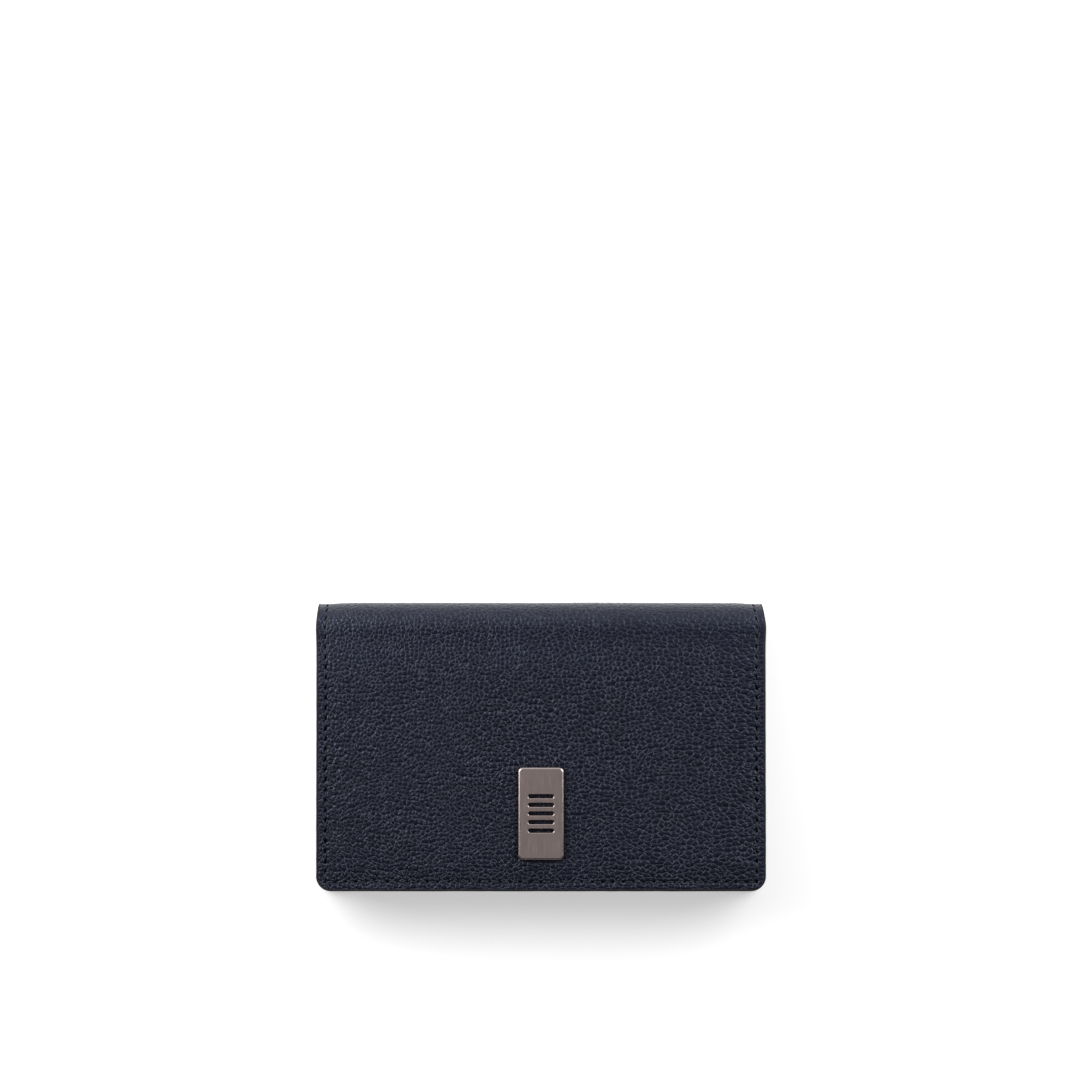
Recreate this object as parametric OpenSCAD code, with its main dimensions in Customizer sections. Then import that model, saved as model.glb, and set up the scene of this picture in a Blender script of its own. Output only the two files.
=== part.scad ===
// Folding leather card holder, lying on its back with the flap up.
// A single outer skin runs from the back wall over a round spine into the flap.
// Inside are a gusseted card pocket and two card slots, held shut by a press snap
// under the metal badge. +X is the width, +Y points to the spine, +Z is up.
// The origin is at the bottom centre of the bounding box.

/* [Size] */
// Width over the painted edges
width = 110; // [98:1:140]
// From the open edge to the outside of the spine
height = 70.8; // [66:0.1:90]
// Radius of the corners at the open edge
corner_r = 3.5; // [2.5:0.1:6]
// How far the flap stops short of the back wall at the open edge
flap_short = 0.3; // [0.3:0.1:3]

/* [Layers] */
// Grained outer leather
skin_t = 1.0; // [0.8:0.05:1.4]
// Stiffening board between leather and lining
board_t = 0.4; // [0.3:0.05:0.8]
// Lining leather
lining_t = 0.6; // [0.4:0.05:1]
// Edge paint on the cut edges
edge_t = 0.2; // [0.1:0.05:0.4]

/* [Pocket] */
// Clear depth of the empty card pocket
pocket_gap = 4.8; // [4.4:0.1:8]
// Leather of the pocket's front wall
wall_leather_t = 0.7; // [0.5:0.05:1.2]
// Lining of the pocket's front wall
wall_lining_t = 0.5; // [0.4:0.05:1]
// How much the front wall is narrower than the back wall, each side
wall_inset = 0.5; // [0.3:0.1:2]
// Distance of the pocket's mouth from the start of the spine
mouth_drop = 2.7; // [1:0.1:8]
// Radius of the thumb notch in the mouth
notch_r = 14; // [8:0.5:20]
// Depth of the thumb notch
notch_depth = 5; // [2:0.5:8]
// Gusset leather
gusset_t = 0.5; // [0.4:0.05:0.8]
// How far the side fold of the gusset reaches inwards past its seam
gusset_fold = 5.0; // [3:0.1:7]
// Width of the sewn seam along the edges
seam_w = 3.4; // [3:0.1:5]

/* [Card slots] */
// Leather of each slot panel
slot_t = 0.8; // [0.75:0.05:1.2]
// Upper slot's edge below the pocket's mouth
upper_slot_drop = 11.5; // [8:0.5:16]
// Lower slot's edge below the upper slot's edge
slot_step = 8; // [5:0.5:12]

/* [Snap] */
// Free height between the slot panel and the flap lining
snap_gap = 2.4; // [2.2:0.1:4]
// Radius of the socket
socket_r = 5.0; // [4.6:0.1:6.5]
// Radius of the stud's head
stud_head_r = 2.0; // [1.7:0.1:2.4]
// Radial clearance between the stud's head and the socket
snap_clear = 0.4; // [0.3:0.05:0.6]
// Radius of the stud's flange
flange_r = 4.0; // [3.2:0.1:5]
// Radius of the rivet caps behind the stud and the socket
cap_r = 3.5; // [2.8:0.1:4]
// Radius of the rivet shanks
shank_r = 0.9; // [0.7:0.05:1.1]

/* [Badge] */
// Width of the badge
badge_w = 11.2; // [8:0.1:16]
// Length of the badge
badge_h = 22.6; // [18:0.1:30]
// Thickness of the badge
badge_t = 1.2; // [1:0.1:2]
// Badge centre above the flap's open edge
badge_rise = 18.8; // [15:0.1:26]
// Radius of the badge's corners
badge_corner = 1.2; // [0.8:0.1:3]
// Bevel along the badge's front edges
badge_bevel = 0.4; // [0.2:0.05:0.6]
// Length of one of the badge's cross slots
slit_len = 6.2; // [4:0.1:7]
// Width of a cross slot
slit_w = 0.9; // [0.6:0.1:1.2]
// Distance from slot to slot
slit_pitch = 2.1; // [1.6:0.1:2.6]
// Number of cross slots
slit_count = 5; // [3:2:5]
// Radius of the posts on the back of the badge
post_r = 0.6; // [0.4:0.05:0.8]

/* [Stitching] */
// Stitch line to the painted edge
stitch_inset = 2.3; // [1.6:0.1:2.6]
// Distance from stitch to stitch
stitch_pitch = 2.5; // [2:0.1:4]
// Length of the visible part of a stitch
stitch_len = 1.9; // [1.2:0.1:2.6]
// Thread diameter
thread_d = 0.45; // [0.3:0.05:0.5]

/* [Hidden] */
$fn = 48;

// Heights of the layers, from the table up
cover_t = skin_t + board_t + lining_t;
pocket_z = cover_t;
wall_z = pocket_z + pocket_gap;
slots_z = wall_z + wall_lining_t + wall_leather_t;
lower_z = slots_z + slot_t;
stud_z = lower_z + slot_t;
flap_z = stud_z + snap_gap;
total_t = flap_z + cover_t;
spine_r = total_t / 2;

// Outlines, seen from above
half_w = width / 2 - edge_t;
back_y = -height / 2 + edge_t;
flap_y = back_y + flap_short;
fold_y = height / 2 - spine_r;
wall_half_w = half_w - wall_inset;
wall_y = back_y + wall_inset;
mouth_y = fold_y - mouth_drop;
upper_y = mouth_y - upper_slot_drop;
lower_y = upper_y - slot_step;
seam_x = wall_half_w - seam_w;
seam_y = wall_y + seam_w;
fold_depth = seam_w + gusset_t + gusset_fold;

// Stitch lines and grooves
line_inset = stitch_inset - edge_t;
groove_d = thread_d + 0.02;
groove_w = thread_d + 0.1;
half_spine_stitches = round(PI / 2 * spine_r / stitch_pitch);

// Snap and badge
flange_t = 0.4;
cap_t = min(0.4, slot_t / 2);
rivet_clear = 0.05;
cap_clear = 0.1;
socket_floor = 0.4;
head_t = 0.5;
snap_y = flap_y + badge_rise;
badge_z = total_t;
post_y = badge_h / 2 - 2.4;
washer_r = 3 * post_r;

navy = "#2b2d39";
lining_navy = "#30323c";
board_grey = "#6f6a62";
paint_black = "#191a1f";
thread_navy = "#15161d";
gunmetal = "#716764";
dark_metal = "#4d4846";

// ---- shapes shared by several pieces ----

// A flat panel with rounded corners at the open edge and a straight far edge
module panel(x, y_low, y_high, r, z, t) {
    translate([0, 0, z]) {
        translate([-x, y_low + r, 0]) cube([2 * x, y_high - y_low - r, t]);
        translate([r - x, y_low, 0]) cube([2 * (x - r), r, t]);
        for (side = [-1, 1])
            translate([side * (x - r), y_low + r, 0]) cylinder(r = r, h = t);
    }
}

// The painted edge that wraps a panel on its two sides and its open edge
module painted_rim(x, y_low, y_high, r, z, t) {
    difference() {
        panel(x + edge_t, y_low - edge_t, y_high, r + edge_t, z, t);
        panel(x, y_low, y_high + 1, r, z - 1, t + 2);
    }
}

// A groove along one side stitch line, cut downwards from a surface at z
module side_grooves(x, y_low, y_high, z) {
    for (side = [-1, 1])
        translate([side * x - groove_w / 2, y_low, z - groove_d])
            cube([groove_w, y_high - y_low, groove_d + 1]);
}

// The groove along the open edge's stitch line
module edge_groove(x, y, z) {
    translate([-x - groove_w / 2, y - groove_w / 2, z - groove_d])
        cube([2 * x + groove_w, groove_w, groove_d + 1]);
}

// Stitches in a straight row from a to b along one axis
module stitch_row(a, b) {
    count = floor((b - a) / stitch_pitch);
    step = (b - a) / count;
    for (i = [0 : count - 1])
        translate([a + (i + 0.5) * step, 0, 0])
            rotate([0, 90, 0]) cylinder(d = thread_d, h = stitch_len, center = true);
}

// Two side rows of stitches, with their tops level with z
module side_stitches(x, y_low, y_high, z) {
    for (side = [-1, 1])
        translate([side * x, 0, z - thread_d / 2]) rotate([0, 0, 90]) stitch_row(y_low, y_high);
}

// The row of stitches along the open edge
module edge_stitches(x, y, z) {
    translate([0, y, z - thread_d / 2]) stitch_row(-x, x);
}

// A quarter-round band between two radii, from x_low to x_high, with slack past its ends.
// It joins the back wall at its lower end.
module spine_band(r_in, r_out, x_low, x_high, slack = 0) {
    translate([0, fold_y, spine_r]) rotate([0, 90, 0]) rotate([0, 0, -slack])
        rotate_extrude(angle = 90 + 2 * slack, $fn = 96)
            translate([r_in, x_low]) square([r_out - r_in, x_high - x_low]);
}

// Turns the quarter at the back wall over into the quarter at the flap
module front_quarter() {
    translate([0, 0, total_t]) mirror([0, 0, 1]) children();
}

// A rivet: a flat cap at z = 0 with a shank standing on it
module rivet(shank_h) {
    cylinder(r = cap_r, h = cap_t);
    cylinder(r = shank_r, h = cap_t + shank_h);
}

// Places its children at the two posts of the badge
module at_posts() {
    for (end = [-1, 1]) translate([0, snap_y + end * post_y, 0]) children();
}

// ---- back wall ----

module back_leather() {
    color(navy) difference() {
        panel(half_w, back_y, fold_y, corner_r, 0, skin_t);
        translate([0, 0, groove_d]) mirror([0, 0, 1]) {
            side_grooves(half_w - line_inset, back_y + line_inset, fold_y + 1, groove_d);
            edge_groove(half_w - line_inset, back_y + line_inset, groove_d);
        }
    }
}

module back_board() {
    color(board_grey) panel(half_w, back_y, fold_y, corner_r, skin_t, board_t);
}

module back_lining() {
    color(lining_navy) panel(half_w, back_y, fold_y, corner_r, skin_t + board_t, lining_t);
}

module back_edge_paint() {
    color(paint_black) painted_rim(half_w, back_y, fold_y, corner_r, 0, cover_t);
}

module back_thread() {
    color(thread_navy) {
        side_stitches(half_w - line_inset, back_y + line_inset, fold_y, thread_d);
        edge_stitches(half_w - line_inset - stitch_pitch / 2, back_y + line_inset, thread_d);
    }
}

// ---- gusseted pocket ----

// The gusset's fold in section: how far in from the wall's edge, then the height
module fold_section() {
    middle = pocket_gap / 2;
    near = seam_w - gusset_t;
    far = seam_w + gusset_t;
    tip = far + gusset_fold;
    polygon([[near, 0], [far, 0], [tip, middle], [far, pocket_gap], [near, pocket_gap],
             [near, pocket_gap - gusset_t], [seam_w, pocket_gap - gusset_t],
             [tip - 2 * gusset_t, middle], [seam_w, gusset_t], [near, gusset_t]]);
}

// One flat seam strip of the gusset, round three edges
module seam_strip(z) {
    difference() {
        panel(wall_half_w, wall_y, mouth_y, corner_r, z, gusset_t);
        translate([-seam_x, seam_y, z - 1]) cube([2 * seam_x, mouth_y, gusset_t + 2]);
    }
}

// The fold along one side, mitred at the corner of the open edge
module side_fold() {
    reach = fold_depth + 1;
    intersection() {
        translate([wall_half_w, mouth_y, 0]) rotate([90, 0, 0]) mirror([1, 0, 0])
            linear_extrude(mouth_y - wall_y) fold_section();
        linear_extrude(pocket_gap)
            polygon([[wall_half_w, wall_y], [wall_half_w, mouth_y],
                     [wall_half_w - reach, mouth_y], [wall_half_w - reach, wall_y + reach]]);
    }
}

// The fold along the open edge, mitred at both ends
module end_fold() {
    reach = fold_depth + 1;
    intersection() {
        translate([-wall_half_w, wall_y, 0]) rotate([90, 0, 90])
            linear_extrude(2 * wall_half_w) fold_section();
        linear_extrude(pocket_gap)
            polygon([[-wall_half_w, wall_y], [wall_half_w, wall_y],
                     [wall_half_w - reach, wall_y + reach],
                     [reach - wall_half_w, wall_y + reach]]);
    }
}

module gusset() {
    color(lining_navy) {
        seam_strip(pocket_z);
        seam_strip(wall_z - gusset_t);
        translate([0, 0, pocket_z]) {
            end_fold();
            side_fold();
            mirror([1, 0, 0]) side_fold();
        }
    }
}

module thumb_notch(z, t) {
    translate([0, mouth_y + notch_r - notch_depth, z - 1]) cylinder(r = notch_r, h = t + 2);
}

module front_wall_lining() {
    color(lining_navy) difference() {
        panel(wall_half_w, wall_y, mouth_y, corner_r, wall_z, wall_lining_t);
        thumb_notch(wall_z, wall_lining_t);
    }
}

module front_wall() {
    z = wall_z + wall_lining_t;
    color(navy) difference() {
        panel(wall_half_w, wall_y, mouth_y, corner_r, z, wall_leather_t);
        thumb_notch(z, wall_leather_t);
        side_grooves(wall_half_w - line_inset, upper_y, mouth_y + 1, slots_z);
    }
}

module upper_slot_panel() {
    color(navy) difference() {
        panel(wall_half_w, wall_y, upper_y, corner_r, slots_z, slot_t);
        side_grooves(wall_half_w - line_inset, lower_y, upper_y + 1, lower_z);
    }
}

module lower_slot_panel() {
    color(navy) difference() {
        panel(wall_half_w, wall_y, lower_y, corner_r, lower_z, slot_t);
        side_grooves(wall_half_w - line_inset, wall_y + line_inset, lower_y + 1, stud_z);
        edge_groove(wall_half_w - line_inset, wall_y + line_inset, stud_z);
        translate([0, snap_y, lower_z - 1]) cylinder(r = cap_r + cap_clear, h = cap_t + 1);
        translate([0, snap_y, lower_z - 1]) cylinder(r = shank_r + rivet_clear, h = slot_t + 2);
    }
}

// The paint steps down where each slot panel ends
module front_edge_paint() {
    color(paint_black) {
        painted_rim(wall_half_w, wall_y, lower_y, corner_r, wall_z, stud_z - wall_z);
        for (step = [[lower_y, upper_y, lower_z], [upper_y, mouth_y, slots_z]], side = [0, 1])
            mirror([side, 0, 0]) translate([wall_half_w, step[0], wall_z])
                cube([edge_t, step[1] - step[0], step[2] - wall_z]);
    }
}

module front_thread() {
    x = wall_half_w - line_inset;
    y = wall_y + line_inset;
    color(thread_navy) {
        edge_stitches(x - stitch_pitch / 2, y, stud_z);
        side_stitches(x, y, lower_y, stud_z);
        side_stitches(x, lower_y, upper_y, lower_z);
        side_stitches(x, upper_y, mouth_y, slots_z);
    }
}

// ---- snap ----

module snap_stud() {
    head_top = snap_gap - socket_floor - 0.3;
    neck_r = stud_head_r - 0.4;
    color(dark_metal) translate([0, snap_y, stud_z]) difference() {
        union() {
            cylinder(r = flange_r, h = flange_t);
            cylinder(r = neck_r, h = head_top);
            translate([0, 0, head_top - head_t]) cylinder(r = stud_head_r, h = head_t);
        }
        translate([0, 0, -1]) cylinder(r = shank_r + rivet_clear, h = head_top - head_t / 2 + 1);
    }
}

module snap_stud_rivet() {
    color(dark_metal) translate([0, snap_y, lower_z])
        rivet(slot_t - cap_t + snap_gap - socket_floor - 0.3 - head_t);
}

module snap_socket() {
    depth = snap_gap - 0.8;
    color(dark_metal) translate([0, snap_y, flap_z - depth]) difference() {
        cylinder(r = socket_r, h = depth);
        translate([0, 0, -1])
            cylinder(r = stud_head_r + snap_clear, h = depth - socket_floor + 1);
        translate([0, 0, -1]) cylinder(r = shank_r + rivet_clear, h = depth + 2);
    }
}

module snap_socket_rivet() {
    color(dark_metal) translate([0, snap_y, total_t - skin_t]) mirror([0, 0, 1]) {
        cylinder(r = cap_r, h = min(cap_t, board_t));
        cylinder(r = shank_r, h = board_t + lining_t + socket_floor - 0.05);
    }
}

// ---- spine: two quarters of a round, the one at the back wall and the one at the flap ----

module spine_leather() {
    x = half_w - line_inset;
    color(navy) difference() {
        spine_band(spine_r - skin_t, spine_r, -half_w, half_w);
        for (side = [-1, 1])
            spine_band(spine_r - groove_d, spine_r + 1, side * x - groove_w / 2,
                       side * x + groove_w / 2, slack = 5);
    }
}

module spine_interlining() {
    color(board_grey)
        spine_band(spine_r - skin_t - board_t, spine_r - skin_t, -half_w, half_w);
}

module spine_lining() {
    color(lining_navy)
        spine_band(spine_r - cover_t, spine_r - skin_t - board_t, -half_w, half_w);
}

module spine_edge_paint() {
    color(paint_black) for (x = [-half_w - edge_t, half_w])
        spine_band(spine_r - cover_t, spine_r, x, x + edge_t);
}

module spine_thread() {
    step = 90 / half_spine_stitches;
    length = stitch_len / (spine_r - thread_d / 2) * 180 / PI;
    color(thread_navy)
        for (side = [-1, 1], i = [0 : half_spine_stitches - 1])
            translate([side * (half_w - line_inset), fold_y, spine_r]) rotate([0, 90, 0])
                rotate([0, 0, (i + 0.5) * step - length / 2]) rotate_extrude(angle = length)
                    translate([spine_r - thread_d / 2, 0]) circle(d = thread_d, $fn = 24);
}

module spine_back_leather() { spine_leather(); }
module spine_back_interlining() { spine_interlining(); }
module spine_back_lining() { spine_lining(); }
module spine_back_edge_paint() { spine_edge_paint(); }
module spine_back_thread() { spine_thread(); }
module spine_front_leather() { front_quarter() spine_leather(); }
module spine_front_interlining() { front_quarter() spine_interlining(); }
module spine_front_lining() { front_quarter() spine_lining(); }
module spine_front_edge_paint() { front_quarter() spine_edge_paint(); }
module spine_front_thread() { front_quarter() spine_thread(); }

// ---- flap ----

module flap_leather() {
    color(navy) difference() {
        panel(half_w, flap_y, fold_y, corner_r, total_t - skin_t, skin_t);
        side_grooves(half_w - line_inset, flap_y + line_inset, fold_y + 1, total_t);
        edge_groove(half_w - line_inset, flap_y + line_inset, total_t);
        at_posts() translate([0, 0, total_t - skin_t - 1])
            cylinder(r = post_r + rivet_clear, h = skin_t + 2);
    }
}

module flap_board() {
    z = flap_z + lining_t;
    color(board_grey) difference() {
        panel(half_w, flap_y, fold_y, corner_r, z, board_t);
        translate([0, snap_y, z - 1]) cylinder(r = cap_r + cap_clear, h = board_t + 2);
        at_posts() translate([0, 0, z - 1])
            cylinder(r = washer_r + cap_clear, h = board_t + 2);
    }
}

module flap_lining() {
    color(lining_navy) difference() {
        panel(half_w, flap_y, fold_y, corner_r, flap_z, lining_t);
        translate([0, snap_y, flap_z - 1])
            cylinder(r = shank_r + rivet_clear, h = lining_t + 2);
    }
}

module flap_edge_paint() {
    color(paint_black) painted_rim(half_w, flap_y, fold_y, corner_r, flap_z, cover_t);
}

module flap_thread() {
    color(thread_navy) {
        side_stitches(half_w - line_inset, flap_y + line_inset, fold_y, total_t);
        edge_stitches(half_w - line_inset - stitch_pitch / 2, flap_y + line_inset, total_t);
    }
}

// ---- badge ----

// A plain plate with rounded corners, lying on z = 0
module badge_blank(r) {
    x = badge_w / 2;
    y = badge_h / 2;
    translate([-x, r - y, 0]) cube([badge_w, badge_h - 2 * r, badge_t]);
    translate([r - x, -y, 0]) cube([badge_w - 2 * r, badge_h, badge_t]);
    for (sx = [-1, 1], sy = [-1, 1])
        translate([sx * (x - r), sy * (y - r), 0]) cylinder(r = r, h = badge_t);
}

// Wedges that bevel the four straight front edges
module badge_bevels() {
    side = badge_bevel * sqrt(2);
    for (sx = [-1, 1])
        translate([sx * badge_w / 2, 0, badge_t]) rotate([0, 45, 0])
            cube([side, badge_h + 2, side], center = true);
    for (sy = [-1, 1])
        translate([0, sy * badge_h / 2, badge_t]) rotate([45, 0, 0])
            cube([badge_w + 2, side, side], center = true);
}

// One cross slot with round ends, cut right through
module badge_slit() {
    half = slit_len / 2 - slit_w / 2;
    translate([-half, -slit_w / 2, -1]) cube([2 * half, slit_w, badge_t + 2]);
    for (side = [-1, 1])
        translate([side * half, 0, -1]) cylinder(d = slit_w, h = badge_t + 2);
}

module badge_plate() {
    color(gunmetal) {
        translate([0, snap_y, badge_z]) difference() {
            badge_blank(badge_corner);
            badge_bevels();
            for (i = [0 : slit_count - 1])
                translate([0, (i - (slit_count - 1) / 2) * slit_pitch, 0]) badge_slit();
        }
        at_posts() translate([0, 0, badge_z - skin_t - board_t])
            cylinder(r = post_r, h = skin_t + board_t + badge_t / 2);
    }
}

// Push-on washers that hold the posts behind the leather
module badge_washers() {
    color(dark_metal) at_posts() translate([0, 0, total_t - skin_t - board_t]) difference() {
        cylinder(r = washer_r, h = board_t);
        translate([0, 0, -1]) cylinder(r = post_r + rivet_clear / 2, h = board_t + 2);
    }
}

back_leather();
back_board();
back_lining();
back_edge_paint();
back_thread();
gusset();
front_wall();
front_wall_lining();
front_edge_paint();
front_thread();
upper_slot_panel();
lower_slot_panel();
snap_stud();
snap_stud_rivet();
spine_back_leather();
spine_back_interlining();
spine_back_lining();
spine_back_edge_paint();
spine_back_thread();
spine_front_leather();
spine_front_interlining();
spine_front_lining();
spine_front_edge_paint();
spine_front_thread();
flap_leather();
flap_board();
flap_lining();
flap_edge_paint();
flap_thread();
snap_socket();
snap_socket_rivet();
badge_plate();
badge_washers();
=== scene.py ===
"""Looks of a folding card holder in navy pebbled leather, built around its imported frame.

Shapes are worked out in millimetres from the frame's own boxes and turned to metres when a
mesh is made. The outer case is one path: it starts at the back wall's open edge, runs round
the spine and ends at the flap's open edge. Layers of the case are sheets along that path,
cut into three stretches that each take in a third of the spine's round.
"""
import math

import bmesh
import bpy
import numpy as np
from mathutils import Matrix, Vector


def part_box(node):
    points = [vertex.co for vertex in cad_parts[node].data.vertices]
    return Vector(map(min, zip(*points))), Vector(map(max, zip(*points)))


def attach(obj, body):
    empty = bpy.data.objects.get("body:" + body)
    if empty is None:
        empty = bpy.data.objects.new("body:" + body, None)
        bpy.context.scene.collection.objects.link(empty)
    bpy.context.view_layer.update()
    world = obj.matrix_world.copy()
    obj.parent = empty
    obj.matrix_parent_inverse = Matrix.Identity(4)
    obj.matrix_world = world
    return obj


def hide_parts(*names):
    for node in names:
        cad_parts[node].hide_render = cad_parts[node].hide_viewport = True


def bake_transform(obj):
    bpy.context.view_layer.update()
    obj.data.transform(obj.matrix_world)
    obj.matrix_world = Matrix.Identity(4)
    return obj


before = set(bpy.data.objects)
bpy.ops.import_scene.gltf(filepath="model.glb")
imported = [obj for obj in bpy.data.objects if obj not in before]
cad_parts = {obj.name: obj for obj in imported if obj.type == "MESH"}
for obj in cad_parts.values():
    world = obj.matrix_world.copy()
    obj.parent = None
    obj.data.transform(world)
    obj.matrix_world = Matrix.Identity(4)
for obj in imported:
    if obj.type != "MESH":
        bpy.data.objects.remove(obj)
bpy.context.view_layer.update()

MM = 0.001


def span(name, axis):
    """A node's lowest and highest place along x, y or z, in millimetres."""
    return [corner["xyz".index(axis)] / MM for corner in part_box(name)]


# ---- sizes of the finish, in millimetres ----
CORNER = 3.5
PITCH = 2.5
THREAD_R = 0.22
HOLE_R = 0.17
# how far apart rows and columns are where pebbles show, and where nothing does
FINE = 0.3
COARSE = 1.5
# how much of the pebbles' height the meshes have
PEBBLE_SHARE = 0.8

# ---- sizes from the frame ----
HALF_W = span("flap_leather", "x")[1]
BACK_EDGE = span("back_leather", "y")[0]
FLAP_EDGE, FOLD = span("flap_leather", "y")
TOTAL = span("flap_leather", "z")[1]
RADIUS = TOTAL / 2
# depths where the leather, the board and the lining end
SKIN, CORE, COVER = [span(f"back_{layer}", "z")[1] for layer in ("leather", "board", "lining")]
WALL_HALF_W = span("front_wall", "x")[1]
WALL_EDGE, MOUTH = span("front_wall", "y")
UPPER_TOP, LOWER_TOP = [span(f"{slot}_slot_panel", "y")[1] for slot in ("upper", "lower")]
POCKET_FLOOR = span("gusset", "z")[0]
WALL_UNDER, LINING_FACE = span("front_wall_lining", "z")
WALL_BACK, WALL_FACE = span("front_wall", "z")
UPPER_FACE, LOWER_FACE = [span(f"{slot}_slot_panel", "z")[1] for slot in ("upper", "lower")]
LINE_INSET = HALF_W - span("flap_thread", "x")[1] + THREAD_R
BADGE_LOW, BADGE_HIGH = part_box("badge_plate")
BADGE_Y = (BADGE_LOW.y + BADGE_HIGH.y) / 2 / MM
BADGE_HALF_W = (BADGE_HIGH.x - BADGE_LOW.x) / 2 / MM
BADGE_HALF_H = (BADGE_HIGH.y - BADGE_LOW.y) / 2 / MM

# ---- the case's path and its three stretches ----
BACK_LENGTH = FOLD - BACK_EDGE
FLAP_START = BACK_LENGTH + math.pi * RADIUS
CASE_LENGTH = FLAP_START + FOLD - FLAP_EDGE
FIRST_CUT = BACK_LENGTH + RADIUS * math.pi / 3
SECOND_CUT = BACK_LENGTH + RADIUS * 2 * math.pi / 3
SPANS = {"back": (0.0, FIRST_CUT), "middle": (FIRST_CUT, SECOND_CUT), "front": (SECOND_CUT, CASE_LENGTH)}
# the two parts of the frame that a stretch lies across, and the degrees round the spine where it does
BENDS = {"back": (("back", "spine_back"), (0, 60)),
         "middle": (("spine_back", "spine_front"), (60, 120)),
         "front": (("flap", "spine_front"), (180, 120))}

# ---- the case's stitch lines ----
LINE_X = HALF_W - LINE_INSET
SEAM = CASE_LENGTH - 2 * LINE_INSET
SIDE_STITCHES = int(round(SEAM / PITCH))
END_STITCHES = int(round(2 * LINE_X / PITCH))

RANDOM = np.random.default_rng(41).random((6, 256, 256))


# ---- patterns ----

def smooth(t):
    """Eases 0..1."""
    t = np.clip(t, 0.0, 1.0)
    return t * t * (3 - 2 * t)


def bell(distance, width):
    """1 at no distance, falling softly to nothing over about twice the width."""
    return np.exp(-(distance / width) ** 2)


def waves(x, y, size, layer):
    """Soft random waves from -1 to 1, about `size` millimetres across, from one of six layers."""
    u, v = x / size + 37.3 * layer, y / size + 11.9 * layer
    iu, iv = np.floor(u).astype(int), np.floor(v).astype(int)
    fu, fv = smooth(u - iu), smooth(v - iv)

    def corner(du, dv):
        return RANDOM[layer][(iu + du) & 255, (iv + dv) & 255]

    low = corner(0, 0) * (1 - fu) + corner(1, 0) * fu
    high = corner(0, 1) * (1 - fu) + corner(1, 1) * fu
    return 2 * (low * (1 - fv) + high * fv) - 1


def hide_places(x, s):
    """Where each point lies on the hide, counted in pebbles across and along.

    Pebbles are small and round at one side and wider towards the other, and a soft warp
    keeps any two of them from being alike."""
    width, growth, length, fine_side = 0.90, 0.0056, 1.05, 55
    u = np.log1p(growth / width * (x + fine_side)) / growth
    v = s / length
    u = u + 0.8 * waves(x, s, 15.0, 0) + 0.25 * waves(x, s, 4.0, 1)
    v = v + 0.8 * waves(x, s, 14.0, 2) + 0.25 * waves(x, s, 4.6, 3) + 0.02 * x
    return u, v


# ---- nodes ----

def connect(tree, sockets, *inputs, **named):
    """Sets inputs, in order or by name, or links them from a socket or a node's first output."""
    pairs = list(zip(sockets, inputs))
    pairs += [(sockets[key.replace("_", " ")], value) for key, value in named.items()]
    for socket, value in pairs:
        if isinstance(value, bpy.types.Node):
            value = value.outputs[0]
        if isinstance(value, bpy.types.NodeSocket):
            tree.links.new(value, socket)
        else:
            socket.default_value = value


def node(tree, kind, *inputs, **given):
    """Adds a node with its settings, and with its inputs in order or by name."""
    made = tree.nodes.new(kind if "Node" in kind else f"ShaderNode{kind}")
    for key in [key for key in given if hasattr(made, key)]:
        setattr(made, key, given.pop(key))
    connect(tree, made.inputs, *inputs, **given)
    return made


def pebble_nodes(tree, spot):
    """Nodes for the pebbles at a place on the hide: height in mm, crease 0..1 and a random tone.

    They shape the mesh and finish the material, so that both show the same pebbles."""
    # pebbles are pushed about a little, so that their outlines aren't straight
    stray = node(tree, "TexNoise", noise_dimensions="2D", Vector=spot, Scale=1.7, Detail=1.0)
    stray = node(tree, "VectorMath", stray.outputs["Color"], (0.5, 0.5, 0), (-0.25, -0.25, 0),
                 operation="MULTIPLY_ADD")
    place = node(tree, "VectorMath", spot, stray, operation="ADD")
    own, next_one, between = [
        node(tree, "TexVoronoi", voronoi_dimensions="2D", feature=feature, Vector=place, Scale=1.0,
             Randomness=0.94)
        for feature in ("F1", "F2", "DISTANCE_TO_EDGE")]
    tone = node(tree, "SeparateXYZ", own.outputs["Color"]).outputs["X"]
    # creases fade here and there, and those that run across the hide are the deepest
    fade = node(tree, "TexNoise", noise_dimensions="2D", Vector=spot, Scale=0.9, Detail=1.0)
    strength = node(tree, "MapRange", fade, 0.3, 0.62, 0.5, 1.0)
    way = node(tree, "VectorMath", next_one.outputs["Position"], own.outputs["Position"],
               operation="SUBTRACT")
    way = node(tree, "SeparateXYZ", node(tree, "VectorMath", way, operation="NORMALIZE"))
    way = node(tree, "Math", way.outputs["Y"], operation="ABSOLUTE")
    across = node(tree, "MapRange", way, 0.2, 0.9, 0.9, 1.0)
    strength = node(tree, "Math", strength, across, operation="MULTIPLY")
    line = node(tree, "MapRange", between.outputs["Distance"], 0.0, 0.18, 1.0, 0.0,
                interpolation_type="SMOOTHSTEP")
    crease = node(tree, "Math", line, strength, operation="MULTIPLY")
    # each pebble is a low dome, a little higher or lower than the next
    dome = node(tree, "MapRange", own.outputs["Distance"], 0.25, 0.92, 0.0, -0.07,
                interpolation_type="SMOOTHSTEP")
    lift = node(tree, "MapRange", tone, 0.0, 1.0, -0.015, 0.015)
    height = node(tree, "Math", dome, lift, operation="ADD")
    height = node(tree, "Math", crease, -0.12, height, operation="MULTIPLY_ADD")
    return height, crease, tone


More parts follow.
